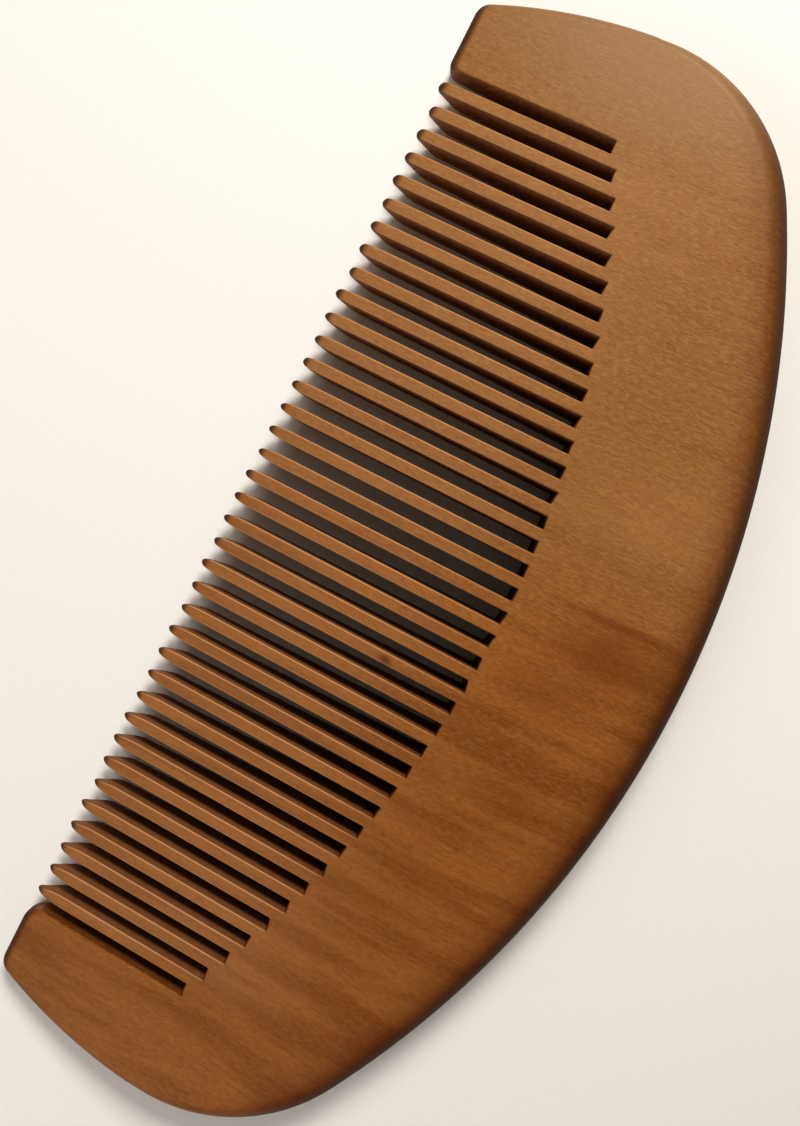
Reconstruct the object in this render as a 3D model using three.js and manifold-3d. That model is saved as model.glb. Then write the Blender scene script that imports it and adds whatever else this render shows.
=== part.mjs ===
// Half-moon beard comb, sawn from one wedge-shaped wooden board.
//
// Millimetres, +Z up. The comb lies flat on its lower face. X runs along the row of teeth, Y from the
// tooth tips to the curved back, Z through the thickness. The origin is on the lower face, under the
// middle of the comb's box. The wood is one piece, and its regions are separate solids that meet face
// to face: the spine, an end guard on either side of the row, and each tooth.

import * as THREE from 'three';
import { mergeVertices } from 'three/addons/utils/BufferGeometryUtils.js';
import Module from 'manifold-3d';

// Board
const COMB_LENGTH = 115.6; // along X, heel to heel
const COMB_WIDTH = 48; // along Y, tip line to the top of the back
const BACK_THICKNESS = 8.6; // at the back
const TIP_THICKNESS = 2.7; // at the tip line
const WIDEST_Y = 19.6; // from the tip line to the comb's widest place
const HEEL_RADIUS = 18.4; // arc between each end and the back
const END_RADIUS = 53; // shallow arc of each end
const CORNER_RADIUS = 1.6; // outer corner of each end guard
const EDGE_ROUND = 1; // rounding of both faces' edges at the ends and the tip line
const BACK_ROUND = 3; // rounding of both faces' edges at the top of the back

// Row of teeth
const TOOTH_COUNT = 37;
const GUARD_REACH = 10.9; // from the comb's end to the nearest slot
const SLOT_WIDTH = 1.3; // saw kerf between neighbouring teeth
const SPINE_HEIGHT = 18.7; // solid wood between the slot ends and the back, along Y
const TIP_WIDTH = 0.5; // across the rounded end of a tooth
const TIP_TAPER = 3; // length over which a tooth narrows to its tip
const GUARD_CORNER = 1.6; // inner corner of each end guard
const TIP_HEIGHT = 0.45; // thickness of a tooth's tip
const TIP_DROP = 0.5; // from the upper face down to the top of a tooth's tip
const DROP_LENGTH = 0.9; // length over which the upper face rounds down to the tip
const GRIND_LENGTH = 2.4; // length over which the teeth are ground from below

// Fineness of the facets
const ARC_STEPS = 10;
const ROUNDING_STEPS = 5;
const TIP_STEPS = 3;
const WELD = 1e-5; // vertices closer than this are one

const HALF_LENGTH = COMB_LENGTH / 2;
const TOOTH_PITCH = (COMB_LENGTH - 2 * GUARD_REACH - SLOT_WIDTH) / TOOTH_COUNT;
const TOOTH_WIDTH = TOOTH_PITCH - SLOT_WIDTH;
const ROUND_SHARE = 0.4; // the roundings of both faces leave a flat between them
const EDGE_RADIUS = Math.min(EDGE_ROUND, ROUND_SHARE * TIP_THICKNESS);
const BACK_EDGE_RADIUS = Math.min(BACK_ROUND, ROUND_SHARE * BACK_THICKNESS);
const CLEAR = 5; // how far a cutting prism runs past the board

// The back arc is tangent to both heel arcs.
const HEEL_CENTRE = new THREE.Vector2(HALF_LENGTH - HEEL_RADIUS, WIDEST_Y);
const HEEL_TO_BACK = COMB_WIDTH - WIDEST_Y;
const BACK_RADIUS =
  (HEEL_CENTRE.x ** 2 + HEEL_TO_BACK ** 2 - HEEL_RADIUS ** 2) / (2 * (HEEL_TO_BACK - HEEL_RADIUS));
const BACK_CENTRE_Y = COMB_WIDTH - BACK_RADIUS;

const wasm = await Module();
wasm.setup();

// A closed three.js geometry as a solid that can be joined and cut.
function solidOf(geometry) {
  const bare = geometry.clone();
  for (const name of Object.keys(bare.attributes)) {
    if (name !== 'position') bare.deleteAttribute(name);
  }
  const merged = mergeVertices(bare, WELD);
  return new wasm.Manifold(
    new wasm.Mesh({
      numProp: 3,
      vertProperties: new Float32Array(merged.attributes.position.array),
      triVerts: new Uint32Array(merged.index.array),
    }),
  );
}

// A solid back as a three.js geometry.
function geometryOf(solid) {
  const mesh = solid.getMesh();
  const geometry = new THREE.BufferGeometry();
  geometry.setAttribute('position', new THREE.BufferAttribute(mesh.vertProperties, 3));
  geometry.setIndex(new THREE.BufferAttribute(mesh.triVerts, 1));
  geometry.computeVertexNormals();
  return geometry;
}

// Thickness of the board at a distance y from the tip line.
function thicknessAt(y) {
  return TIP_THICKNESS + ((BACK_THICKNESS - TIP_THICKNESS) * y) / COMB_WIDTH;
}

// Plan outline of the board: tip line, then corner, end, heel and back arcs, all tangent.
function boardOutline() {
  const endCentreX = HALF_LENGTH - END_RADIUS;
  const reach = END_RADIUS - CORNER_RADIUS;
  const cornerX = endCentreX + Math.sqrt(reach ** 2 - (WIDEST_Y - CORNER_RADIUS) ** 2);
  const endStart = Math.atan2(CORNER_RADIUS - WIDEST_Y, cornerX - endCentreX);
  const heelEnd = Math.atan2(HEEL_CENTRE.y - BACK_CENTRE_Y, HEEL_CENTRE.x);
  const shape = new THREE.Shape();
  shape.moveTo(-cornerX, 0);
  shape.lineTo(cornerX, 0);
  shape.absarc(cornerX, CORNER_RADIUS, CORNER_RADIUS, -Math.PI / 2, endStart);
  shape.absarc(endCentreX, WIDEST_Y, END_RADIUS, endStart, 0);
  shape.absarc(HEEL_CENTRE.x, HEEL_CENTRE.y, HEEL_RADIUS, 0, heelEnd);
  shape.absarc(0, BACK_CENTRE_Y, BACK_RADIUS, heelEnd, Math.PI - heelEnd);
  shape.absarc(-HEEL_CENTRE.x, HEEL_CENTRE.y, HEEL_RADIUS, Math.PI - heelEnd, Math.PI);
  shape.absarc(-endCentreX, WIDEST_Y, END_RADIUS, Math.PI, Math.PI - endStart);
  shape.absarc(-cornerX, CORNER_RADIUS, CORNER_RADIUS, Math.PI - endStart, (3 * Math.PI) / 2);
  return shape;
}

// Outward direction at each point of a closed outline, long enough to move both its edges by 1.
function outwardAt(points) {
  return points.map((point, i) => {
    const before = points[(i + points.length - 1) % points.length];
    const after = points[(i + 1) % points.length];
    const sides = [
      [before, point],
      [point, after],
    ].map(([from, to]) => new THREE.Vector2(to.y - from.y, from.x - to.x).normalize());
    const sum = sides[0].clone().add(sides[1]);
    return sum.divideScalar(1 + sides[0].dot(sides[1]));
  });
}

// The board before sawing: flat below, sloping above, its edges rounded most at the back. It is built
// up from rings that follow the outline: up the lower rounding, then up the upper one.
function boardSolid() {
  const points = boardOutline().getPoints(ARC_STEPS);
  const outline = points.filter((p, i) => p.distanceTo(points[(i + 1) % points.length]) > WELD);
  const outward = outwardAt(outline);
  const radii = outward.map((n) => {
    const facingBack = Math.max(0, n.clone().normalize().y);
    return EDGE_RADIUS + (BACK_EDGE_RADIUS - EDGE_RADIUS) * facingBack;
  });
  const ring = (step, isUpper) => {
    const angle = ((step / ROUNDING_STEPS) * Math.PI) / 2;
    return outline.map((p, i) => {
      const inset = radii[i] * (1 - Math.sin(angle));
      const fromFace = radii[i] * (1 - Math.cos(angle));
      const y = p.y - outward[i].y * inset;
      const z = isUpper ? thicknessAt(y) - fromFace : fromFace;
      return new THREE.Vector3(p.x - outward[i].x * inset, y, z);
    });
  };
  const steps = [...Array(ROUNDING_STEPS + 1).keys()];
  const upwards = steps.map((step) => ring(step, false));
  const downwards = steps.map((step) => ring(step, true));
  const rings = [...upwards, ...downwards.reverse()];
  const count = outline.length;
  const faces = [];
  for (let level = 0; level + 1 < rings.length; level += 1) {
    for (let i = 0; i < count; i += 1) {
      const [a, b] = [level * count + i, level * count + ((i + 1) % count)];
      faces.push(a, b, b + count, a, b + count, a + count);
    }
  }
  const topStart = (rings.length - 1) * count;
  for (const [a, b, c] of THREE.ShapeUtils.triangulateShape(rings[0], [])) faces.push(c, b, a);
  for (const triangle of THREE.ShapeUtils.triangulateShape(rings.at(-1), [])) {
    faces.push(...triangle.map((corner) => topStart + corner));
  }
  const geometry = new THREE.BufferGeometry().setFromPoints(rings.flat());
  geometry.setIndex(faces);
  return solidOf(geometry);
}

// An upright prism over a plan outline, taller than the board.
function prism(shape, steps = ARC_STEPS) {
  const geometry = new THREE.ExtrudeGeometry(shape, {
    depth: BACK_THICKNESS + 2 * CLEAR,
    curveSegments: steps,
    bevelEnabled: false,
  });
  geometry.translate(0, 0, -CLEAR);
  return solidOf(geometry);
}

// Centre line of a slot. Slot 0 is beside the left guard, slot TOOTH_COUNT beside the right one.
function slotX(slot) {
  return (slot - TOOTH_COUNT / 2) * TOOTH_PITCH;
}

// The slots end on the back's arc, moved towards the tips by the height of the spine.
function slotEndY(slot) {
  const x = slotX(slot);
  return BACK_CENTRE_Y + Math.sqrt(BACK_RADIUS ** 2 - x ** 2) - SPINE_HEIGHT;
}

// A tooth joins the spine where the shorter of its two slots ends.
function toothRootY(tooth) {
  return Math.min(slotEndY(tooth), slotEndY(tooth + 1));
}

const GUARD_ROOT_Y = slotEndY(0);
const GUARD_INNER_X = -slotX(0) + SLOT_WIDTH / 2;

// Everything on the tip side of the spine. Its far edge steps, from the right, between the slot ends
// and the tooth roots.
function toothFieldOutline() {
  const far = HALF_LENGTH + CLEAR;
  const shape = new THREE.Shape();
  shape.moveTo(-far, -CLEAR);
  shape.lineTo(far, -CLEAR);
  shape.lineTo(far, GUARD_ROOT_Y);
  let level = GUARD_ROOT_Y;
  const stepTo = (x, y) => {
    if (y === level) return;
    shape.lineTo(x, level);
    shape.lineTo(x, y);
    level = y;
  };
  for (let slot = TOOTH_COUNT; slot >= 0; slot -= 1) {
    stepTo(slotX(slot) + SLOT_WIDTH / 2, slotEndY(slot));
    if (slot > 0) stepTo(slotX(slot) - SLOT_WIDTH / 2, toothRootY(slot - 1));
  }
  shape.lineTo(-far, GUARD_ROOT_Y);
  return shape;
}

// Plan outline of an end guard's region, right-hand side, with its inner corner rounded.
function guardOutline() {
  const far = HALF_LENGTH + CLEAR;
  const shape = new THREE.Shape();
  shape.moveTo(GUARD_INNER_X + GUARD_CORNER, 0);
  shape.lineTo(far, 0);
  shape.lineTo(far, GUARD_ROOT_Y);
  shape.lineTo(GUARD_INNER_X, GUARD_ROOT_Y);
  shape.lineTo(GUARD_INNER_X, GUARD_CORNER);
  shape.absarc(GUARD_INNER_X + GUARD_CORNER, GUARD_CORNER, GUARD_CORNER, Math.PI, 1.5 * Math.PI);
  return shape;
}

// Plan outline of a tooth about its own centre line, from its rounded tip to its root.
function toothOutline(rootY) {
  const half = TOOTH_WIDTH / 2;
  const tip = TIP_WIDTH / 2;
  const shape = new THREE.Shape();
  shape.moveTo(half, rootY);
  shape.lineTo(-half, rootY);
  shape.lineTo(-half, TIP_TAPER);
  shape.quadraticCurveTo(-half, TIP_TAPER / 2, -tip, tip);
  shape.absarc(0, tip, tip, Math.PI, 2 * Math.PI);
  shape.quadraticCurveTo(half, TIP_TAPER / 2, half, TIP_TAPER);
  return shape;
}

// A tooth: its plan outline, raised to the board's faces and ground to a thin tip in side view.
function toothSolid(rootY) {
  const side = new THREE.Shape(); // x runs from the tip line to the root, y through the thickness
  const tipTop = TIP_THICKNESS - TIP_DROP;
  side.moveTo(rootY, 0);
  side.lineTo(rootY, thicknessAt(rootY));
  side.lineTo(DROP_LENGTH, thicknessAt(DROP_LENGTH));
  side.quadraticCurveTo(DROP_LENGTH / 2, thicknessAt(DROP_LENGTH / 2), 0, tipTop);
  side.lineTo(0, tipTop - TIP_HEIGHT);
  side.lineTo(GRIND_LENGTH, 0);
  const slab = new THREE.ExtrudeGeometry(side, {
    depth: 2 * TOOTH_WIDTH,
    curveSegments: TIP_STEPS,
    bevelEnabled: false,
  });
  slab.translate(0, 0, -TOOTH_WIDTH);
  const [alongX, alongY, alongZ] = [0, 1, 2].map((axis) => new THREE.Vector3().setComponent(axis, 1));
  slab.applyMatrix4(new THREE.Matrix4().makeBasis(alongY, alongZ, alongX));
  return prism(toothOutline(rootY), TIP_STEPS).intersect(solidOf(slab));
}

// Oiled, close-grained fruitwood; each region has its own material.
function wood() {
  return new THREE.MeshStandardMaterial({ color: '#8f5a30', roughness: 0.5, metalness: 0 });
}

// A named mesh, placed along the row by its position.
function namedMesh(name, solid, x = 0) {
  const mesh = new THREE.Mesh(geometryOf(solid), wood());
  mesh.name = name;
  mesh.position.x = x;
  return mesh;
}

const board = boardSolid();
const comb = new THREE.Group();
comb.name = 'beard_comb';
comb.position.y = -COMB_WIDTH / 2;

comb.add(namedMesh('spine', board.subtract(prism(toothFieldOutline()))));

const guardRegion = prism(guardOutline());
comb.add(namedMesh('end_guard_right', board.intersect(guardRegion)));
comb.add(namedMesh('end_guard_left', board.intersect(guardRegion.mirror([1, 0, 0]))));

for (let tooth = 0; tooth < TOOTH_COUNT; tooth += 1) {
  const x = (tooth - (TOOTH_COUNT - 1) / 2) * TOOTH_PITCH;
  const number = String(tooth + 1).padStart(2, '0');
  comb.add(namedMesh(`tooth_${number}`, toothSolid(toothRootY(tooth)), x));
}

export default comb;
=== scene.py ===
"""Half-moon beard comb, cut from one board of oiled pearwood.

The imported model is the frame: it says how long and wide the comb is, where each tooth stands and where
each saw slot ends. The pieces made here stand for its nodes one for one: the spine, the end guards and
the teeth. They get what a maker's hands give the wood: the rounded back, the eased edges, the bullet
tips, the saw's rough walls, and the oiled grain, which runs through all of them as through one board.
"""

import logging
import math
import random
from collections.abc import Callable, Iterator
from contextlib import contextmanager
from dataclasses import dataclass, field
from enum import Enum

import bmesh
import bpy
from mathutils import Matrix, Vector


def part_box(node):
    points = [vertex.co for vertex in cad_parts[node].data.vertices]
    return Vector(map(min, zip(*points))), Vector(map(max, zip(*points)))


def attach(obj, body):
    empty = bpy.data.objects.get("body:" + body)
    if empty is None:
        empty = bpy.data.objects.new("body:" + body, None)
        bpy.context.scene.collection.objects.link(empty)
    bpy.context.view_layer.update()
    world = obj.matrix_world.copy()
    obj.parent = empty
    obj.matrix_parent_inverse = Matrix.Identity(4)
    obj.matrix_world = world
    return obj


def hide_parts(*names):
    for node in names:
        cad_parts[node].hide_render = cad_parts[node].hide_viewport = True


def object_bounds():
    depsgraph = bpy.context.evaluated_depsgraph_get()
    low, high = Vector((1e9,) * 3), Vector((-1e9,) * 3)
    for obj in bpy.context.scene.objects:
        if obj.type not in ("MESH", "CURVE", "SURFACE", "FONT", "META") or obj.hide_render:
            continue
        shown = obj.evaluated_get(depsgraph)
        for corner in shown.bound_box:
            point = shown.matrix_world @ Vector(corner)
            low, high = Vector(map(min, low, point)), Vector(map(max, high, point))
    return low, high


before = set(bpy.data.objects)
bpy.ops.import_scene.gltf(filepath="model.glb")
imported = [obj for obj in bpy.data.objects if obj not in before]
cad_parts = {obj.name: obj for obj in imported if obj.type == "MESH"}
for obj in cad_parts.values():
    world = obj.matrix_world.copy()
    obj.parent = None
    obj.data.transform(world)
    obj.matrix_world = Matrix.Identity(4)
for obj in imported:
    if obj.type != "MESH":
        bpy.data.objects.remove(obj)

CAD_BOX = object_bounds()

LOG = logging.getLogger("beard_comb")
MM = 0.001
SEED = 37
ON_PLANE = 0.002 * MM  # a point nearer than this to a plane lies on it
ON_CUT = 0.0001 * MM  # a point nearer than this to a cut isn't cut
ON_LINE = 0.02 * MM  # a point nearer than this to a line of the plan lies on it
ACROSS = 0.02  # an edge whose direction has less than this of an axis runs across it
STRAIGHT = 0.99  # a face whose normal has more than this of an axis faces straight along it

Piece = bpy.types.Object
Tree = bpy.types.NodeTree
Socket = bpy.types.NodeSocket
EdgeRadius = Callable[[Vector, Vector], float]


class Side(Enum):
    """The end of the comb that a guard stands at, as the sign of its X."""

    LEFT = -1
    RIGHT = 1


class Part(Enum):
    """What a selection picks."""

    CORNER = "VERT"
    EDGE = "EDGE"
    FACE = "FACE"


# ---------------------------------------------------------------- working by hand


def take(piece: Piece) -> None:
    """Selects one piece and nothing else, and makes it the active one."""
    bpy.ops.object.select_all(action="DESELECT")
    piece.select_set(True)
    bpy.context.view_layer.objects.active = piece


@contextmanager
def editing(piece: Piece) -> Iterator[None]:
    """Opens edit mode on one piece with nothing selected, and closes it again.

    Args:
        piece: The piece to work on.
    """
    take(piece)
    bpy.ops.object.mode_set(mode="EDIT")
    bpy.ops.mesh.select_all(action="DESELECT")
    yield
    bpy.ops.object.mode_set(mode="OBJECT")


def pick(part: Part, wanted: Callable) -> None:
    """Selects the corners, edges or faces of the mesh in edit mode that pass a test.

    Args:
        part: What is picked.
        wanted: Takes one of them and says whether it is picked.
    """
    mesh = bpy.context.edit_object.data
    bpy.ops.mesh.select_mode(type=part.value)
    bpy.ops.mesh.select_all(action="DESELECT")
    shape = bmesh.from_edit_mesh(mesh)
    among = {Part.CORNER: shape.verts, Part.EDGE: shape.edges, Part.FACE: shape.faces}[part]
    for each in [each for each in among if wanted(each)]:
        each.select_set(True)
    bmesh.update_edit_mesh(mesh)


def apply_place(piece: Piece) -> None:
    """Moves a piece's place, turn and size into its mesh, so that its object sits at the origin."""
    take(piece)
    bpy.ops.object.transform_apply(location=True, rotation=True, scale=True)


def apply_modifier(piece: Piece, kind: str, **settings: object) -> None:
    """Adds a modifier to a piece and applies it.

    Args:
        piece: The piece that it changes.
        kind: Blender's name for the kind of modifier.
        settings: Its settings by name.
    """
    take(piece)
    modifier = piece.modifiers.new(kind.lower(), kind)
    for name, value in settings.items():
        setattr(modifier, name, value)
    bpy.ops.object.modifier_apply(modifier=modifier.name)


def smooth(piece: Piece, angle: float = math.radians(35)) -> None:
    """Shades a piece smooth across its roundings and flat on its flats.

    Args:
        piece: The piece to shade.
        angle: Edges sharper than this stay sharp.
    """
    take(piece)
    bpy.ops.object.shade_smooth_by_angle(angle=angle)
    apply_modifier(piece, "WEIGHTED_NORMAL", mode="FACE_AREA", weight=100, keep_sharp=True)


def copy_of(piece: Piece, name: str) -> Piece:
    """A copy of a piece with a mesh of its own.

    Args:
        piece: The piece to copy.
        name: The copy's name.

    Returns:
        The copy.
    """
    take(piece)
    bpy.ops.object.duplicate(linked=False)
    copy = bpy.context.object
    copy.name = copy.data.name = name
    return copy


class Pencil:
    """Draws the outline of a piece on the plane Z = 0, point by point, in edit mode."""

    def __init__(self, name: str, x: float, y: float) -> None:
        """Puts the pencil down.

        Args:
            name: The new piece's name.
            x: Where it starts along the row of teeth, in metres.
            y: Where it starts from tips to back, in metres.
        """
        bpy.ops.object.select_all(action="DESELECT")
        bpy.ops.mesh.primitive_plane_add(size=MM, location=(x, y, 0))
        self.piece: Piece = bpy.context.object
        self.piece.name = self.piece.data.name = name
        bpy.ops.object.mode_set(mode="EDIT")
        bpy.ops.mesh.select_mode(type=Part.CORNER.value)
        bpy.ops.mesh.select_all(action="SELECT")
        bpy.ops.mesh.merge(type="CENTER")
        self.x, self.y = x, y

    def line(self, x: float, y: float) -> None:
        """Draws a straight line to a point."""
        step = (x - self.x, y - self.y, 0)
        bpy.ops.mesh.extrude_region_move(TRANSFORM_OT_translate={"value": step})
        self.x, self.y = x, y

    def arc(self, centre: Vector, turn: float, steps: int) -> None:
        """Draws an arc.

        Args:
            centre: The point that it goes round.
            turn: How far it goes, in radians, anticlockwise from above.
            steps: The number of straight steps that it is made of.
        """
        bpy.ops.mesh.spin(steps=steps, angle=-turn, center=(centre.x, centre.y, 0), axis=(0, 0, 1))
        arm = Vector((self.x - centre.x, self.y - centre.y))
        arm.rotate(Matrix.Rotation(turn, 2))
        self.x, self.y = centre.x + arm.x, centre.y + arm.y

    def close(self) -> Piece:
        """Joins the last point to the first, fills the outline and leaves edit mode.

        Returns:
            The flat piece.
        """
        bpy.ops.mesh.select_all(action="SELECT")
        bpy.ops.mesh.remove_doubles(threshold=ON_PLANE)
        bpy.ops.mesh.select_all(action="SELECT")
        bpy.ops.mesh.edge_face_add()
        bpy.ops.object.mode_set(mode="OBJECT")
        apply_place(self.piece)
        return self.piece


# ---------------------------------------------------------------- the frame


class Row:
    """The row of teeth as the frame gives it, in metres, with the teeth in order from left to right."""

    def __init__(self) -> None:
        """Reads the teeth, the slots between them and the comb's box from the frame."""
        low, high = CAD_BOX
        self.half_length: float = high.x
        self.tip_y: float = low.y
        self.back_y: float = high.y
        self.teeth: list[str] = sorted(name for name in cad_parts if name.startswith("tooth_"))
        boxes = [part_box(name) for name in self.teeth]
        left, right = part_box("end_guard_left"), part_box("end_guard_right")
        self.centres: list[float] = [(a.x + b.x) / 2 for a, b in boxes]
        self.tooth_width: float = boxes[0][1].x - boxes[0][0].x
        self.roots: list[float] = [high_corner.y for _, high_corner in boxes]
        self.guard_root: float = right[1].y
        self.guard_inner: float = right[0].x
        walls = [left[1].x, *(x for a, b in boxes for x in (a.x, b.x)), right[0].x]
        self.slots: list[tuple[float, float]] = list(zip(walls[0::2], walls[1::2]))
        beside = [self.guard_root, *self.roots, self.guard_root]
        self.slot_ends: list[float] = [max(pair) for pair in zip(beside, beside[1:])]


# ---------------------------------------------------------------- the board


@dataclass
class Board:
    """The wooden board that every piece is cut from, with its outline, its wedge and its roundings.

    Sizes are in millimetres.
    """

    row: Row
    tip_thickness: float = 2.7
    back_thickness: float = 8.6
    widest_from_tips: float = 19.6
    heel_radius: float = 18.4
    end_radius: float = 53.0
    corner_radius: float = 1.6
    back_rounding: float = 3.2
    end_rounding: float = 1.0
    eased: float = 0.18  # the sanded edges of the slots
    stub: float = 0.8  # the spine keeps this much of each tooth's root
    steps_per_mm: float = 1.2
    rounding_steps: int = 8

    def __post_init__(self) -> None:
        """Works out the seams and the arcs' centres, in metres."""
        row = self.row
        self.guard_seam = row.guard_root - self.stub * MM
        self.tooth_seams = [root - self.stub * MM for root in row.roots]
        self.widest_y = row.tip_y + self.widest_from_tips * MM
        self.end_centre = Vector((row.half_length - self.end_radius * MM, self.widest_y))
        self.heel_centre = Vector((row.half_length - self.heel_radius * MM, self.widest_y))
        rise = row.back_y - self.widest_y
        across = self.heel_centre.x
        heel = self.heel_radius * MM
        self.back_radius = (across**2 + rise**2 - heel**2) / (2 * (rise - heel))
        self.back_centre = Vector((0, row.back_y - self.back_radius))
        self.slope = (self.back_thickness - self.tip_thickness) * MM / (row.back_y - row.tip_y)
        reach = (self.end_radius - self.corner_radius) * MM
        down = self.widest_y - row.tip_y - self.corner_radius * MM
        self.corner_centre = Vector(
            (self.end_centre.x + math.sqrt(reach**2 - down**2), row.tip_y + self.corner_radius * MM)
        )

    def thickness_at(self, y: float) -> float:
        """Thickness of the board, in metres, at a place between the tips and the back."""
        return self.tip_thickness * MM + self.slope * (y - self.row.tip_y)

    def end_angle(self, y: float) -> float:
        """Where the right-hand end arc passes y, as an angle about its centre."""
        return math.asin((y - self.end_centre.y) / (self.end_radius * MM))

    def steps(self, radius: float, turn: float) -> int:
        """The number of straight steps for an arc, from its length."""
        return max(3, round(abs(turn) * radius / MM * self.steps_per_mm))

    def plane_wedge(self) -> None:
        """Planes the upper face of the piece in edit mode to the wedge."""
        bpy.ops.mesh.select_all(action="SELECT")
        bpy.ops.mesh.bisect(
            plane_co=(0, self.row.tip_y, self.tip_thickness * MM),
            plane_no=Vector((0, -self.slope, 1)).normalized(),
            use_fill=True,
            clear_outer=True,
            threshold=ON_CUT,
        )

    def cut(self, flat: Piece, radius_of: EdgeRadius) -> Piece:
        """Raises an outline above the board's thickness, planes it to the wedge and rounds it.

        Args:
            flat: The outline, filled, on the plane Z = 0.
            radius_of: Takes the middle and the direction of a rim edge and gives its radius in mm.

        Returns:
            The finished piece.
        """
        height = 2 * self.back_thickness * MM
        with editing(flat):
            bpy.ops.mesh.select_mode(type=Part.FACE.value)
            bpy.ops.mesh.select_all(action="SELECT")
            bpy.ops.mesh.extrude_region_move(TRANSFORM_OT_translate={"value": (0, 0, height)})
            self.plane_wedge()
            bpy.ops.mesh.select_all(action="SELECT")
            bpy.ops.mesh.normals_make_consistent(inside=False)
        self.round_rims(flat, radius_of)
        smooth(flat)
        return flat

    def round_rims(self, piece: Piece, radius_of: EdgeRadius) -> None:
        """Rounds the rims of both faces, each edge with its own radius.

        Args:
            piece: The raised piece.
            radius_of: Gives a rim edge's radius, as for cut.
        """
        largest = max(self.back_rounding, self.end_rounding, self.eased)
        with editing(piece):
            shape = bmesh.from_edit_mesh(piece.data)
            weight = shape.edges.layers.float.get("bevel_weight_edge")
            weight = weight or shape.edges.layers.float.new("bevel_weight_edge")
            for edge in shape.edges:
                a, b = (corner.co for corner in edge.verts)
                below = max(a.z, b.z) < ON_PLANE
                above = max(abs(c.z - self.thickness_at(c.y)) for c in (a, b)) < ON_PLANE
                if below or above:
                    edge[weight] = radius_of((a + b) / 2, (b - a).normalized()) / largest
            bmesh.update_edit_mesh(piece.data)
        apply_modifier(
            piece,
            "BEVEL",
            limit_method="WEIGHT",
            width=largest * MM,
            segments=self.rounding_steps,
            use_clamp_overlap=False,
        )

    def outer_radius(self, middle: Vector, direction: Vector) -> float:
        """Radius of the outer rim, in mm, which grows from the ends to the middle of the back.

        Args:
            middle: The middle of a rim edge.
            direction: The way that the edge runs.

        Returns:
            The radius.
        """
        if middle.y <= self.widest_y:
            return self.end_rounding
        return self.end_rounding + (self.back_rounding - self.end_rounding) * abs(direction.x)


# ---------------------------------------------------------------- finishes


def linear(colour: str) -> tuple[float, float, float, float]:
    """An sRGB hex colour as linear light.

    Args:
        colour: Six hex digits after a #.

    Returns:
        Red, green, blue and an alpha of 1.
    """
    shares = [int(colour[i : i + 2], 16) / 255 for i in (1, 3, 5)]
    light = [c / 12.92 if c <= 0.04045 else ((c + 0.055) / 1.055) ** 2.4 for c in shares]
    return (*light, 1.0)


def add_node(
    tree: Tree,
    kind: str,
    settings: dict[str, object] | None = None,
    inputs: dict[str | int, object] | None = None,
) -> bpy.types.Node:
    """Adds a node to a material, sets it and links it.

    Args:
        tree: The node tree.
        kind: Blender's name for the kind of node, without the ShaderNode that it starts with.
        settings: The node's own settings by name.
        inputs: Its inputs by name or number, each another node's output to link or a value to set.

    Returns:
        The node.
    """
    node = tree.nodes.new("ShaderNode" + kind)
    for name, value in (settings or {}).items():
        setattr(node, name, value)
    for key, value in (inputs or {}).items():
        if isinstance(value, Socket):
            tree.links.new(value, node.inputs[key])
        else:
            node.inputs[key].default_value = value
    return node


def bare_material(name: str) -> bpy.types.Material:
    """A new material with nothing in its node tree."""
    material = bpy.data.materials.new(name)
    material.use_nodes = True
    material.node_tree.nodes.clear()
    return material


MULTIPLY = {"operation": "MULTIPLY"}
SUBTRACT = {"operation": "SUBTRACT"}
ABSOLUTE = {"operation": "ABSOLUTE"}
SOFT_STEP = {"interpolation_type": "SMOOTHSTEP"}
MIX_COLOURS = {"data_type": "RGBA"}
MIX_FACTOR, MIX_A, MIX_B, MIXED = 0, 6, 7, 2  # sockets of a Mix node set to colours


def between(tree: Tree, value: Socket, zero: float, one: float, least: float = 0.0) -> Socket:
    """How far a value has come from zero to one, softly at both ends, as a share from least to 1."""
    limits = {"Value": value, "From Min": zero, "From Max": one, "To Min": least}
    return add_node(tree, "MapRange", SOFT_STEP, limits).outputs[0]


def facing(tree: Tree, axis: str, zero: float, one: float) -> Socket:
    """How far the surface has turned to face along an axis, either way.

    Args:
        tree: The node tree.
        axis: X, Y or Z.
        zero: The part of the normal along the axis that gives 0.
        one: The part that gives 1.

    Returns:
        A share from 0 to 1.
    """
    normal = add_node(tree, "NewGeometry").outputs["Normal"]
    along = add_node(tree, "SeparateXYZ", None, {0: normal}).outputs[axis]
    size = add_node(tree, "Math", ABSOLUTE, {0: along}).outputs[0]
    return between(tree, size, zero, one)


@dataclass(frozen=True)
class Tone:
    """A colour that shows over the plain wood, and how strong it is where it is fullest."""

    colour: str
    strength: float

    def lay(
        self, tree: Tree, under: Socket, share: Socket, within: Socket | float = 1.0
    ) -> Socket:
        """Lays the tone over a colour where a pattern says.

        Args:
            tree: The node tree.
            under: The colour below.
            share: The pattern.
            within: How much of the pattern there is.

        Returns:
            The mixed colour.
        """
        strength = add_node(tree, "Math", MULTIPLY, {0: within, 1: self.strength}).outputs[0]
        factor = add_node(tree, "Math", MULTIPLY, {0: share, 1: strength}).outputs[0]
        return add_node(
            tree, "Mix", MIX_COLOURS, {MIX_FACTOR: factor, MIX_A: under, MIX_B: linear(self.colour)}
        ).outputs[MIXED]


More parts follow.
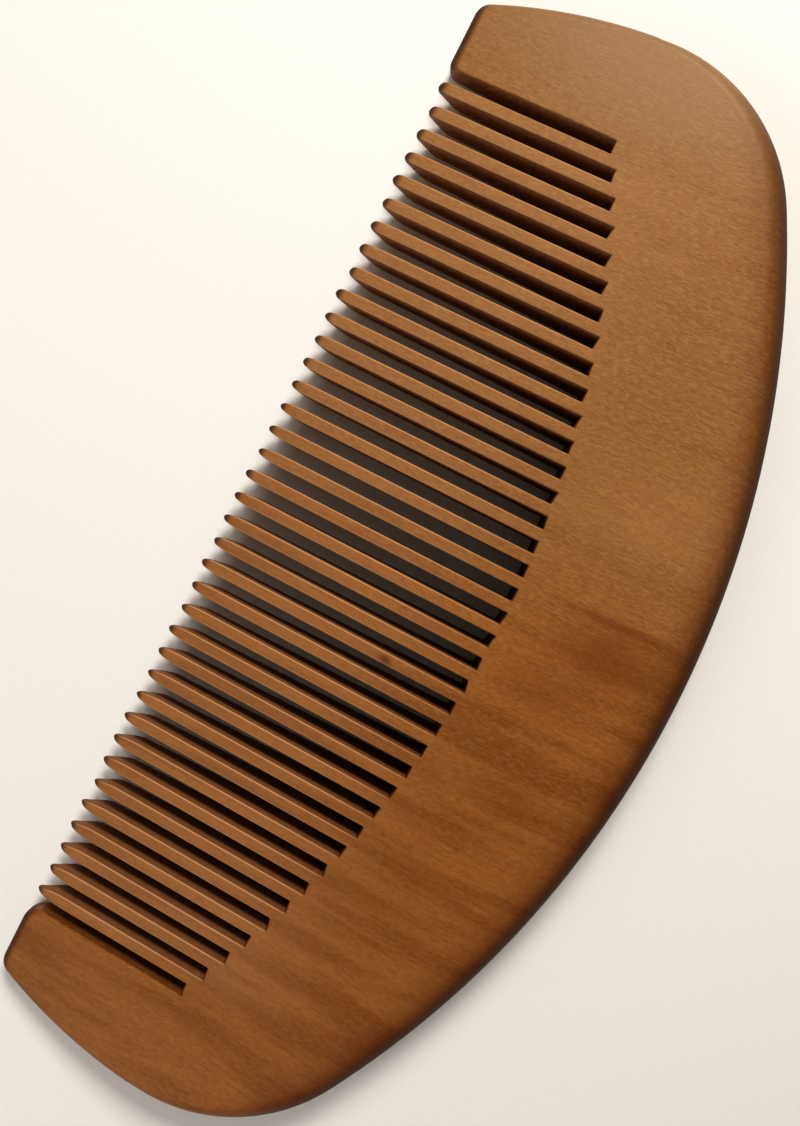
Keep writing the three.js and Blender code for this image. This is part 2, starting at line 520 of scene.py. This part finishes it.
@dataclass(frozen=True)
class Streaks:
    """Streaks that run with the grain. Sizes are in millimetres."""

    width: float
    length: float
    shown: tuple[float, float]  # the noise values that give 0 and 1
    shift: float = 0.0  # moves the pattern, so that two of one size differ
    flatness: float = 0.5  # a streak is this much slower to change down through the board
    detail: float = 3.0
    fineness: float = 0.55  # how strong the finer detail is

    def draw(self, tree: Tree, place: Socket) -> Socket:
        """Draws the streaks.

        Args:
            tree: The node tree.
            place: The place in the board.

        Returns:
            A share from 0 to 1.
        """
        scale = (1 / self.width, 1 / self.length, self.flatness / self.width)
        drawn = add_node(
            tree, "Mapping", None, {"Vector": place, "Scale": scale, "Location": (self.shift,) * 3}
        ).outputs[0]
        noise = add_node(
            tree,
            "TexNoise",
            None,
            {"Vector": drawn, "Scale": 1.0, "Detail": self.detail, "Roughness": self.fineness},
        ).outputs["Fac"]
        return between(tree, noise, *self.shown)


@dataclass(frozen=True)
class Patch:
    """A soft patch of another tone in the wood, drawn out with the grain. Sizes are in millimetres."""

    x: float
    y: float
    half_width: float
    half_length: float
    tone: Tone

    def lie(self, tree: Tree, place: Socket) -> Socket:
        """Where the patch lies.

        Args:
            tree: The node tree.
            place: The place in the board.

        Returns:
            A share, 1 in the patch's middle and 0 outside it.
        """
        from_middle = add_node(
            tree, "VectorMath", SUBTRACT, {0: place, 1: (self.x, self.y, 0)}
        ).outputs[0]
        shares = add_node(
            tree,
            "VectorMath",
            MULTIPLY,
            {0: from_middle, 1: (1 / self.half_width, 1 / self.half_length, 0)},
        ).outputs[0]
        reach = add_node(tree, "VectorMath", {"operation": "LENGTH"}, {0: shares})
        return between(tree, reach.outputs["Value"], 1.0, 0.0)


@dataclass(frozen=True)
class Pearwood:
    """Pearwood, planed, sanded and oiled.

    To the eye it is a warm brown, very fine and even, with soft growth bands, hardly a pore and a low
    satin gloss. Sizes are in millimetres. The grain runs along Y, as the teeth do, so the comb's back
    and the tips of its teeth are end grain, which drinks more oil and goes darker and duller; its colour
    is made darker still there as painted shade on the back's rim.
    """

    name: str
    board: Board
    left_half_tone: str = "#89582b"  # the left half: the wood's own paler tone, with a painted sheen of the light on the left end
    warm: str = "#8b5120"  # the right half
    sheen: str = "#ffd6a8"  # the oil's glow
    band: Tone = Tone("#663106", 0.62)  # late wood
    line: Tone = Tone("#663106", 0.28)  # the fine grain
    mottle: Tone = Tone("#4c270a", 0.27)  # the pores
    ray: Tone = Tone("#9f7240", 0.46)  # pale flecks
    rubbed: Tone = Tone("#b5835a", 0.17)  # the teeth, rubbed paler than the rest
    edge: Tone = Tone("#c9976a", 0.5)  # the teeth's eased edges, painted paler still: a painted highlight where they catch the light
    back_shade: Tone = Tone("#3f1302", 0.7)  # painted shade: the back darker towards its rim, which turns from the light
    tip: Tone = Tone("#3a281b", 0.75)  # painted shade on the tips' rounded ends, which turn from the light
    # end grain, darker as oiled end grain is, and darker still as painted shade on the back's rim
    end_grain_and_shade: Tone = Tone("#2b0c00", 0.8)
    bands: Streaks = Streaks(2.2, 26.0, (0.4, 0.64))
    lines: Streaks = Streaks(0.3, 8.0, (0.4, 0.7), 7.0)
    pores: Streaks = Streaks(0.17, 0.7, (0.45, 0.66))  # coarser than the real ones, so that they show
    rays: Streaks = Streaks(0.17, 0.7, (0.46, 0.66), 19.0)
    relief_depth: float = 0.02
    relief_strength: float = 0.25
    wander: float = 1.6  # how far the grain strays from a straight line
    wander_length: float = 28.0
    turn_of_colour: tuple[float, float] = (-14.0, 1.0)  # where along the row the wood warms
    turn_of_bands: tuple[float, float] = (-20.0, 8.0)  # where along the row the bands come in
    turn_of_rays: tuple[float, float] = (30.0, -30.0)  # where along the row the rays show
    turn_of_tips: tuple[float, float] = (30.0, -20.0)  # where along the row the tips go darker
    turn_of_rubbing: tuple[float, float] = (10.0, -8.0)  # where the teeth go paler, from back to tips
    least_bands: float = 0.25  # how much there is of each before its turn
    least_rays: float = 0.35
    least_tips: float = 0.4
    row_fade: float = 2.2  # the rubbing fades in over this, inside the guards
    edge_facing: tuple[float, float] = (0.1, 0.5)  # parts of the normal along X on an eased edge
    end_facing: tuple[float, float] = (0.1, 0.8)  # parts of the normal along Y on end grain
    back_shade_depth: float = 5.5  # how far in from the back the painted shade reaches
    tip_depth: tuple[float, float] = (1.1, 0.3)  # how far in from the tips the dark fades
    roughness: float = 0.42
    end_roughness: float = 0.66
    ior: float = 1.46
    gloss: float = 0.2
    patches: tuple[Patch, ...] = (
        Patch(-56.0, -6.0, 13.0, 34.0, Tone("#8a6d4e", 0.6)),  # the left guard, painted greyer: a painted sheen of the light on the left end
        Patch(-5.6, 15.5, 0.9, 9.0, Tone("#532105", 0.55)),  # one dark growth line
        Patch(-2.0, 16.0, 5.0, 8.5, Tone("#632c06", 0.6)),  # the warm wood beside it
        Patch(-16.0, 14.0, 8.0, 14.0, Tone("#b8824f", 0.2)),  # the pale wood before it
        Patch(3.5, 12.0, 3.0, 7.0, Tone("#683107", 0.4)),
        Patch(14.0, 14.0, 2.4, 8.0, Tone("#683107", 0.35)),
        Patch(29.0, 6.0, 1.6, 9.0, Tone("#632d06", 0.35)),
        Patch(7.5, -3.0, 0.7, 1.0, Tone("#421102", 0.75)),  # a small knot on one tooth
    )

    def place(self, tree: Tree) -> Socket:
        """The place in the board, in millimetres, with the grain's wandering taken out.

        Args:
            tree: The node tree.

        Returns:
            The place as a vector.
        """
        metres = add_node(tree, "TexCoord").outputs["Object"]
        straight = add_node(
            tree, "VectorMath", {"operation": "SCALE"}, {0: metres, "Scale": 1 / MM}
        ).outputs[0]
        drift = add_node(
            tree, "TexNoise", None, {"Vector": straight, "Scale": 1 / self.wander_length, "Detail": 1.0}
        ).outputs["Color"]
        around_zero = add_node(tree, "VectorMath", SUBTRACT, {0: drift, 1: (0.5, 0.5, 0.5)}).outputs[0]
        sideways = add_node(
            tree, "VectorMath", MULTIPLY, {0: around_zero, 1: (2 * self.wander, 0, 0)}
        ).outputs[0]
        return add_node(tree, "VectorMath", {"operation": "ADD"}, {0: straight, 1: sideways}).outputs[0]

    def back_shading(self, tree: Tree, place: Socket) -> Socket:
        """How much painted shade darkens the wood, which is most at the curved back, whose rim turns
        from the light.

        Args:
            tree: The node tree.
            place: The place in the board.

        Returns:
            A share from 0 to 1.
        """
        flat = add_node(tree, "VectorMath", MULTIPLY, {0: place, 1: (1, 1, 0)}).outputs[0]
        from_centre = add_node(
            tree,
            "VectorMath",
            {"operation": "DISTANCE"},
            {0: flat, 1: (0, self.board.back_centre.y / MM, 0)},
        ).outputs["Value"]
        radius = self.board.back_radius / MM
        return between(tree, from_centre, radius - self.back_shade_depth, radius)

    def on_teeth(self, tree: Tree, along_row: Socket, from_tips: Socket) -> Socket:
        """Where the fine teeth are, fading out towards their roots.

        Args:
            tree: The node tree.
            along_row: The place along the row of teeth.
            from_tips: The place from tips to back.

        Returns:
            A share from 0 to 1.
        """
        off_middle = add_node(tree, "Math", ABSOLUTE, {0: along_row}).outputs[0]
        guard = self.board.row.guard_inner / MM
        in_row = between(tree, off_middle, guard, guard - self.row_fade)
        towards_tips = between(tree, from_tips, *self.turn_of_rubbing)
        return add_node(tree, "Math", MULTIPLY, {0: in_row, 1: towards_tips}).outputs[0]

    def colour(self, tree: Tree, place: Socket, pores: Socket, cut_across: Socket) -> Socket:
        """The wood's colour, from the plain wood up to what use has done to it, with painted sheen,
        highlight and shade laid over it.

        Args:
            tree: The node tree.
            place: The place in the board.
            pores: Where the fine dark mottling is.
            cut_across: Where the surface is end grain.

        Returns:
            The colour.
        """
        parts = add_node(tree, "SeparateXYZ", None, {0: place}).outputs
        along_row, from_tips = parts["X"], parts["Y"]
        # the left half's tone is partly a painted sheen of the light on the left end
        wood = add_node(
            tree,
            "Mix",
            MIX_COLOURS,
            {
                MIX_FACTOR: between(tree, along_row, *self.turn_of_colour),
                MIX_A: linear(self.left_half_tone),
                MIX_B: linear(self.warm),
            },
        ).outputs[MIXED]
        on_teeth = self.on_teeth(tree, along_row, from_tips)
        figured = between(tree, along_row, *self.turn_of_bands, self.least_bands)
        plain = between(tree, along_row, *self.turn_of_rays, self.least_rays)
        tip_line = self.board.row.tip_y / MM
        at_tip = between(tree, from_tips, *(tip_line + depth for depth in self.tip_depth))
        to_left = between(tree, along_row, *self.turn_of_tips, self.least_tips)
        wood = self.band.lay(tree, wood, self.bands.draw(tree, place), figured)
        wood = self.line.lay(tree, wood, self.lines.draw(tree, place))
        wood = self.mottle.lay(tree, wood, pores)
        wood = self.ray.lay(tree, wood, self.rays.draw(tree, place), plain)
        wood = self.rubbed.lay(tree, wood, on_teeth)
        # painted highlight: the teeth's eased edges paler, where they catch the light
        wood = self.edge.lay(tree, wood, facing(tree, "X", *self.edge_facing), on_teeth)
        for patch in self.patches:
            wood = patch.tone.lay(tree, wood, patch.lie(tree, place))
        # painted shade towards the curved back, whose rim turns from the light
        wood = self.back_shade.lay(tree, wood, self.back_shading(tree, place))
        # painted shade on the tips' rounded ends
        wood = self.tip.lay(tree, wood, at_tip, to_left)
        # end grain darker as oiled end grain is, and painted shade on the back's rim
        return self.end_grain_and_shade.lay(tree, wood, cut_across)

    def relief(self, tree: Tree, place: Socket, pores: Socket) -> Socket:
        """The surface's fine relief: the dark pores lie a hair's depth below the light wood."""
        return self.bump(tree, add_node(tree, "Math", SUBTRACT, {0: 1.0, 1: pores}).outputs[0])

    def bump(self, tree: Tree, height: Socket) -> Socket:
        """Turns a pattern of heights into a bumped normal."""
        depth = self.relief_depth * MM
        sizes = {"Height": height, "Strength": self.relief_strength, "Distance": depth}
        return add_node(tree, "Bump", None, sizes).outputs[0]

    def dullness(self, tree: Tree, cut_across: Socket) -> Socket | float:
        """The roughness, which is greater on end grain."""
        ends = {"Value": cut_across, "To Min": self.roughness, "To Max": self.end_roughness}
        return add_node(tree, "MapRange", None, ends).outputs[0]

    def make(self) -> bpy.types.Material:
        """Builds the material.

        Returns:
            The material.
        """
        material = bare_material(self.name)
        tree = material.node_tree
        place = self.place(tree)
        pores = self.pores.draw(tree, place)
        cut_across = facing(tree, "Y", *self.end_facing)
        shader = add_node(
            tree,
            "BsdfPrincipled",
            None,
            {
                "Base Color": self.colour(tree, place, pores, cut_across),
                "Normal": self.relief(tree, place, pores),
                "Roughness": self.dullness(tree, cut_across),
                "IOR": self.ior,
                "Specular IOR Level": self.gloss,
                "Specular Tint": linear(self.sheen),
            },
        ).outputs[0]
        add_node(tree, "OutputMaterial", None, {"Surface": shader})
        return material


@dataclass(frozen=True)
class SawnPearwood(Pearwood):
    """Pearwood as the saw leaves it, on the walls of the slots.

    To the eye it is darker, because the oil gathers there, and duller, with fine marks across the grain.
    """

    left_half_tone: str = "#6d3f1f"
    warm: str = "#5f3110"
    edge: Tone = Tone("#c9976a", 0.0)  # no painted edge highlight on the walls
    roughness: float = 0.62
    mark_width: float = 0.35
    mark_length: float = 5.0  # along X
    mark_height: float = 8.33  # as tall as the wall
    relief_depth: float = 0.06
    relief_strength: float = 0.5

    def relief(self, tree: Tree, place: Socket, pores: Socket) -> Socket:
        """The saw's marks, which cross the grain.

        Args:
            tree: The node tree.
            place: The place in the board.
            pores: Not used.

        Returns:
            The bumped normal.
        """
        sizes = (1 / self.mark_length, 1 / self.mark_width, 1 / self.mark_height)
        drawn = add_node(tree, "Mapping", None, {"Vector": place, "Scale": sizes}).outputs[0]
        marks = add_node(tree, "TexNoise", None, {"Vector": drawn, "Scale": 1.0, "Detail": 2.0})
        return self.bump(tree, marks.outputs["Fac"])

    def dullness(self, tree: Tree, cut_across: Socket) -> Socket | float:
        """The roughness, which the saw leaves the same all over."""
        return self.roughness


@dataclass(frozen=True)
class MattPaper:
    """Matt off-white paper for the studio's floor: it takes soft shadows and shows no gloss."""

    name: str
    colour: str = "#f1efec"
    tooth: str = "#e9e7e3"  # the darker hollows between the fibres
    fibre: float = 0.4  # mm
    roughness: float = 0.9

    def make(self) -> bpy.types.Material:
        """Builds the material.

        Returns:
            The material.
        """
        material = bare_material(self.name)
        tree = material.node_tree
        place = add_node(tree, "TexCoord").outputs["Object"]
        fibres = add_node(
            tree, "TexNoise", None, {"Vector": place, "Scale": 1 / (self.fibre * MM), "Detail": 2.0}
        ).outputs["Fac"]
        colour = add_node(
            tree,
            "Mix",
            MIX_COLOURS,
            {MIX_FACTOR: fibres, MIX_A: linear(self.colour), MIX_B: linear(self.tooth)},
        ).outputs[MIXED]
        shader = add_node(
            tree, "BsdfPrincipled", None, {"Base Color": colour, "Roughness": self.roughness}
        ).outputs[0]
        add_node(tree, "OutputMaterial", None, {"Surface": shader})
        return material


@dataclass
class Dresser:
    """Gives each piece its wood and its place in the part."""

    board: Board
    planed: bpy.types.Material
    sawn: bpy.types.Material
    wall_facing: float = 0.9  # the least part of a slot wall's normal along the row
    end_facing: float = 0.8  # the least part of a slot end's normal towards the tips

    def is_sawn(self, face: bpy.types.MeshPolygon) -> bool:
        """Says whether a face is a wall or the end of a saw slot."""
        row = self.board.row
        inside = abs(face.center.x) < row.guard_inner + ON_LINE
        wall = inside and abs(face.normal.x) > self.wall_facing
        end = face.normal.y < -self.end_facing and face.center.y > row.guard_root - MM
        return wall or end

    def dress(self, piece: Piece, node: str) -> None:
        """Puts both woods on a piece and lets it stand for its node.

        Args:
            piece: The finished piece.
            node: The node of the frame that it replaces.
        """
        piece.data.materials.clear()
        piece.data.materials.append(self.planed)
        piece.data.materials.append(self.sawn)
        for face in piece.data.polygons:
            face.material_index = int(self.is_sawn(face))
        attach(piece, "root")
        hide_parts(node)
        LOG.info("%s: %d faces, stands for %s", piece.name, len(piece.data.polygons), node)


# ---------------------------------------------------------------- the comb


@dataclass
class Spine:
    """The half-moon of solid wood between the slots and the back. Sizes are in millimetres."""

    board: Board
    kerf_corner: float = 0.07
    slant: float = 0.1  # the saw leaves one corner of a slot further in than the other
    bow: float = 0.05
    bow_place: tuple[float, float] = (0.35, 0.65)  # where across the slot the bow lies, as shares
    chance: random.Random = field(default_factory=lambda: random.Random(SEED))

    def draw(self) -> Piece:
        """Draws the outline: both ends, the heels and the back, then slot after slot.

        Returns:
            The flat piece.
        """
        board, row = self.board, self.board.row
        seam = board.guard_seam
        low = board.end_angle(seam)
        end = board.end_radius * MM
        heel = board.heel_radius * MM
        heel_turn = math.atan2(
            board.heel_centre.y - board.back_centre.y, board.heel_centre.x - board.back_centre.x
        )
        back_turn = math.pi - 2 * heel_turn
        mirrored = Vector((-1, 1))
        pencil = Pencil("wood_spine", board.end_centre.x + end * math.cos(low), seam)
        pencil.arc(board.end_centre, -low, board.steps(end, low))
        pencil.arc(board.heel_centre, heel_turn, board.steps(heel, heel_turn))
        pencil.arc(board.back_centre, back_turn, board.steps(board.back_radius, back_turn))
        pencil.arc(board.heel_centre * mirrored, heel_turn, board.steps(heel, heel_turn))
        pencil.arc(board.end_centre * mirrored, -low, board.steps(end, low))
        seams = [*board.tooth_seams, seam]
        pencil.line(row.slots[0][0], seam)
        for slot, (left, right) in enumerate(row.slots):
            self.draw_slot_end(pencil, left, right, row.slot_ends[slot])
            pencil.line(right, seams[slot])
            if slot + 1 < len(row.slots):
                pencil.line(row.slots[slot + 1][0], seams[slot])
        return pencil.close()

    def draw_slot_end(self, pencil: Pencil, left: float, right: float, end: float) -> None:
        """Draws the end of one saw slot, which is never quite square.

        Args:
            pencil: The pencil, at the slot's left wall.
            left: The left wall.
            right: The right wall.
            end: Where the slot ends.
        """
        corner = self.kerf_corner * MM
        slant = self.chance.uniform(-self.slant, self.slant) * MM
        bow = self.chance.uniform(0, self.bow) * MM
        middle = left + (right - left) * self.chance.uniform(*self.bow_place)
        pencil.line(left, end - slant - corner)
        pencil.line(left + corner, end - slant)
        pencil.line(middle, end - bow)
        pencil.line(right - corner, end + slant)
        pencil.line(right, end + slant - corner)

    def rim_radius(self, middle: Vector, direction: Vector) -> float:
        """Radius of a rim edge: eased in the slots, sharp at the seams, round outside.

        Args:
            middle: The middle of the edge.
            direction: The way that it runs.

        Returns:
            The radius.
        """
        row = self.board.row
        seams = [self.board.guard_seam, *self.board.tooth_seams]
        if abs(direction.y) < ACROSS and min(abs(middle.y - y) for y in seams) < ON_PLANE:
            return 0.0
        if middle.y < max(row.slot_ends) + MM and abs(middle.x) < row.guard_inner + ON_LINE:
            return self.board.eased
        return self.board.outer_radius(middle, direction)

    def make(self) -> Piece:
        """Models the spine."""
        return self.board.cut(self.draw(), self.rim_radius)


@dataclass
class EndGuard:
    """The broad tooth at one end of the row. Sizes are in millimetres."""

    board: Board
    side: Side
    inner_corner: float

    def draw(self) -> Piece:
        """Draws the outline from the seam down the end, along the tips and up the inner wall.

        Returns:
            The flat piece.
        """
        board, row, sign = self.board, self.board.row, self.side.value
        seam = board.guard_seam
        low = board.end_angle(seam)
        end = board.end_radius * MM
        inner = self.inner_corner * MM
        to_end = board.corner_centre - board.end_centre
        corner_angle = math.atan2(to_end.y, to_end.x)
        mirrored = Vector((sign, 1))
        name = f"wood_end_guard_{self.side.name.lower()}"
        pencil = Pencil(name, sign * (board.end_centre.x + end * math.cos(low)), seam)
        down = corner_angle - low
        pencil.arc(board.end_centre * mirrored, sign * down, board.steps(end, down))
        round_end = -math.pi / 2 - corner_angle
        pencil.arc(board.corner_centre * mirrored, sign * round_end, board.rounding_steps)
        pencil.line(sign * (row.guard_inner + inner), row.tip_y)
        inner_centre = Vector((sign * (row.guard_inner + inner), row.tip_y + inner))
        pencil.arc(inner_centre, -sign * math.pi / 2, board.rounding_steps)
        pencil.line(sign * row.guard_inner, seam)
        return pencil.close()

    def rim_radius(self, middle: Vector, direction: Vector) -> float:
        """Radius of a rim edge: sharp at the seam, eased on the inner wall, round outside.

        Args:
            middle: The middle of the edge.
            direction: The way that it runs.

        Returns:
            The radius.
        """
        board, row = self.board, self.board.row
        if abs(middle.y - board.guard_seam) < ON_PLANE:
            return 0.0
        if abs(middle.x) < row.guard_inner + self.inner_corner * MM - ON_PLANE:
            return board.eased + (board.end_rounding - board.eased) * abs(direction.x)
        return board.outer_radius(middle, direction)

    def make(self) -> Piece:
        """Models the guard."""
        return self.board.cut(self.draw(), self.rim_radius)


@dataclass
class ToothRow:
    """The row of fine teeth. The first is carved, and the others are copies with tips of their own.

    Sizes are in millimetres.
    """

    board: Board
    taper: float = 3.3  # length over which a tooth narrows to its tip
    tip_drop: float = 0.55  # the tip lies this much under the upper face
    drop_length: float = 0.9
    tip_height: float = 0.35  # thickness of the very tip
    swell: float = 1.1  # how fast a tooth thickens from its tip
    nose: float = 0.4  # length of the very tip's rounding
    narrowest: float = 0.2  # width of a bullet tip before its nose, as a share of the root's
    filling: float = 0.4  # what a blunt tip adds to that share
    curve: float = 2.2  # how suddenly a bullet tip narrows, as a power
    blunt_curve: float = 1.8  # what a blunt tip adds to that power
    blunt: float = 0.95  # how full the tips at the left end are, from 0 to 1
    sharp: float = 0.05  # how full the tips at the right end are
    uneven: float = 0.15  # how far a tip's fullness strays from its neighbours'
    stations: tuple[float, ...] = (3.3, 2.6, 2.0, 1.5, 1.1, 0.75, 0.5, 0.36, 0.22, 0.1, 0.02)
    short_by: float = 0.3  # how much shorter than the longest a tooth may be
    chance: random.Random = field(default_factory=lambda: random.Random(SEED))

    def half_width(self, from_tip: float, fullness: float) -> float:
        """Half the width of a tooth, as a share of what it is at the root.

        Args:
            from_tip: Distance from the tip.
            fullness: 0 for a bullet, 1 for a blunt end.

        Returns:
            The share.
        """
        narrowest = self.narrowest + self.filling * fullness
        power = self.curve + self.blunt_curve * fullness
        tapered = 1 - (1 - narrowest) * (1 - from_tip / self.taper) ** power
        rounded = math.sqrt(1 - max(0.0, 1 - from_tip / self.nose) ** 2)
        return tapered * rounded

    def profile(self, from_tip: float) -> tuple[float, float]:
        """Lowest and highest point of a tooth, in metres, at a distance in mm from its tip."""
        face = self.board.thickness_at(self.board.row.tip_y + from_tip * MM)
        drop = self.tip_drop * MM * max(0.0, 1 - from_tip / self.drop_length) ** 2
        height = (self.tip_height + self.swell * from_tip) * MM
        top = face - drop
        return max(0.0, top - height), top

    def carve_first(self) -> Piece:
        """Carves the first tooth, as long as the longest, on the row's middle line.

        Returns:
            The tooth.
        """
        board, row = self.board, self.board.row
        start, end = row.tip_y + self.taper * MM, max(row.roots)
        height = board.thickness_at(end) + MM
        bpy.ops.object.select_all(action="DESELECT")
        bpy.ops.mesh.primitive_cube_add(
            size=1,
            location=(0, (start + end) / 2, height / 2),
            scale=(row.tooth_width, end - start, height),
        )
        tooth: Piece = bpy.context.object
        tooth.name = tooth.data.name = "first_tooth"
        apply_place(tooth)
        with editing(tooth):
            board.plane_wedge()
            pick(Part.EDGE, lambda edge: abs((edge.verts[0].co - edge.verts[1].co).y) > MM)
            bpy.ops.mesh.bevel(
                offset=board.eased * MM, segments=board.rounding_steps // 2, affect="EDGES"
            )
            pick(Part.FACE, lambda face: face.normal.y < -STRAIGHT)
            self.draw_out_tip()
            bpy.ops.mesh.select_all(action="SELECT")
            bpy.ops.mesh.normals_make_consistent(inside=False)
        return tooth

    def draw_out_tip(self) -> None:
        """Extrudes the tooth's end face to the tip, station by station, each smaller than the last."""
        row = self.board.row
        fullness = (self.blunt + self.sharp) / 2
        before, wide_before = self.stations[0], self.half_width(self.stations[0], fullness)
        low_before, high_before = self.profile(before)
        for station in self.stations[1:]:
            wide = self.half_width(station, fullness)
            low, high = self.profile(station)
            rise = (low + high - low_before - high_before) / 2
            step = (0, (station - before) * MM, rise)
            bpy.ops.mesh.extrude_region_move(TRANSFORM_OT_translate={"value": step})
            bpy.ops.transform.resize(
                value=(wide / wide_before, 1, (high - low) / (high_before - low_before)),
                center_override=(0, row.tip_y + station * MM, (low + high) / 2),
            )
            before, wide_before, low_before, high_before = station, wide, low, high

    def copy_tooth(self, first: Piece, number: int) -> Piece:
        """Copies the first tooth, cuts it to length and gives it a tip of its own.

        Args:
            first: The first tooth.
            number: The place in the row, from 0.

        Returns:
            The tooth, in its place.
        """
        row = self.board.row
        tooth = copy_of(first, f"wood_{row.teeth[number]}")
        share = number / (len(row.teeth) - 1)
        common = (self.blunt + self.sharp) / 2
        fullness = self.blunt + (self.sharp - self.blunt) * share
        fullness += self.chance.uniform(-self.uneven, self.uneven)
        fullness = min(1.0, max(0.0, fullness))
        start = row.tip_y + self.taper * MM
        length = 1 - self.chance.uniform(0, self.short_by) / self.taper
        with editing(tooth):
            bpy.ops.mesh.select_all(action="SELECT")
            bpy.ops.mesh.bisect(
                plane_co=(0, self.board.tooth_seams[number], 0),
                plane_no=(0, 1, 0),
                use_fill=True,
                clear_outer=True,
            )
            for station in self.stations[1:]:
                y = row.tip_y + station * MM
                pick(Part.CORNER, lambda corner: abs(corner.co.y - y) < ON_PLANE)
                wider = self.half_width(station, fullness) / self.half_width(station, common)
                bpy.ops.transform.resize(value=(wider, 1, 1), center_override=(0, y, 0))
            pick(Part.CORNER, lambda corner: corner.co.y < start - ON_PLANE)
            bpy.ops.transform.resize(value=(1, length, 1), center_override=(0, start, 0))
            bpy.ops.mesh.select_all(action="SELECT")
            bpy.ops.transform.translate(value=(row.centres[number], 0, 0))
        smooth(tooth)
        return tooth

    def make(self) -> list[Piece]:
        """Models the row.

        Returns:
            The teeth, from left to right.
        """
        first = self.carve_first()
        teeth = [self.copy_tooth(first, number) for number in range(len(self.board.row.teeth))]
        bpy.data.objects.remove(first)
        return teeth


# ---------------------------------------------------------------- the studio


@dataclass(frozen=True)
class SoftBox:
    """A soft square light. Its place and size are in millimetres."""

    name: str
    place: tuple[float, float, float]
    size: float
    watts: float
    colour: str = "#ffffff"

    def make(self, aim: Vector) -> None:
        """Hangs the light and turns it to a point.

        Args:
            aim: The point that it shines at, in metres.
        """
        place = Vector(self.place) * MM
        bpy.ops.object.select_all(action="DESELECT")
        bpy.ops.object.light_add(type="AREA", location=place)
        lamp = bpy.context.object
        lamp.name = self.name
        lamp.rotation_euler = (aim - place).to_track_quat("-Z", "Y").to_euler()
        lamp.data.shape = "SQUARE"
        lamp.data.size = self.size * MM
        lamp.data.energy = self.watts
        lamp.data.color = linear(self.colour)[:3]


@dataclass
class Studio:
    """A pale floor, soft light and a camera that looks straight down. Sizes are in millimetres."""

    floor_size: float = 1600.0
    camera_place: tuple[float, float, float] = (-5.4, -5.1, 102.4)
    camera_aim: tuple[float, float, float] = (-1.4, -6.0, 4.0)
    top_of_view: float = 207.0  # the way that points up in the view, in degrees from +X
    lens: float = 31.97
    sensor: float = 36.0
    in_view: tuple[float, float] = (1.0, 10000.0)  # the nearest and furthest that the camera sees
    ambient: float = 0.17
    glow: str = "#f6dfc6"
    lights: tuple[SoftBox, ...] = (
        SoftBox("key_light", (-250.0, -35.0, 250.0), 110.0, 1.33, "#fffaf3"),
        SoftBox("sheen_light", (-130.0, -60.0, 290.0), 150.0, 0.06),
        SoftBox("fill_light", (210.0, -90.0, 150.0), 200.0, 0.28),
    )

    def lay_floor(self) -> None:
        """Lays the floor that the comb rests on."""
        bpy.ops.object.select_all(action="DESELECT")
        bpy.ops.mesh.primitive_plane_add(size=self.floor_size * MM)
        floor = bpy.context.object
        floor.name = "floor"
        floor.data.materials.append(MattPaper("matt_paper").make())

    def set_camera(self) -> None:
        """Sets the camera above the comb."""
        place, aim = Vector(self.camera_place) * MM, Vector(self.camera_aim) * MM
        forward = (aim - place).normalized()
        bearing = math.radians(self.top_of_view)
        right = forward.cross(Vector((math.cos(bearing), math.sin(bearing), 0))).normalized()
        up = right.cross(forward)
        bpy.ops.object.camera_add(location=place)
        camera = bpy.context.object
        turn = Matrix((right, up, -forward)).transposed()
        camera.rotation_euler = turn.to_euler()
        camera.data.lens = self.lens
        camera.data.sensor_width = self.sensor
        camera.data.clip_start, camera.data.clip_end = (reach * MM for reach in self.in_view)
        bpy.context.scene.camera = camera

    def light(self) -> None:
        """Hangs the lights and gives the room its dim, even glow."""
        for lamp in self.lights:
            lamp.make(Vector((0, 0, 0)))
        world = bpy.data.worlds.new("studio_room")
        bpy.context.scene.world = world
        world.use_nodes = True
        background = world.node_tree.nodes["Background"]
        background.inputs["Color"].default_value = linear(self.glow)
        background.inputs["Strength"].default_value = self.ambient
        bpy.context.scene.view_settings.view_transform = "Standard"

    def make(self) -> None:
        """Builds the studio."""
        self.lay_floor()
        self.light()
        self.set_camera()


def main() -> None:
    """Builds the comb piece by piece, then the studio."""
    logging.basicConfig(level=logging.INFO, format="%(message)s")
    board = Board(Row())
    dresser = Dresser(
        board,
        Pearwood("oiled_pearwood_sanded", board).make(),
        SawnPearwood("oiled_pearwood_sawn", board).make(),
    )
    dresser.dress(Spine(board).make(), "spine")
    dresser.dress(EndGuard(board, Side.LEFT, inner_corner=0.9).make(), "end_guard_left")
    dresser.dress(EndGuard(board, Side.RIGHT, inner_corner=1.7).make(), "end_guard_right")
    for tooth, node in zip(ToothRow(board).make(), board.row.teeth):
        dresser.dress(tooth, node)
    Studio().make()


if __name__ == "__main__":
    main()
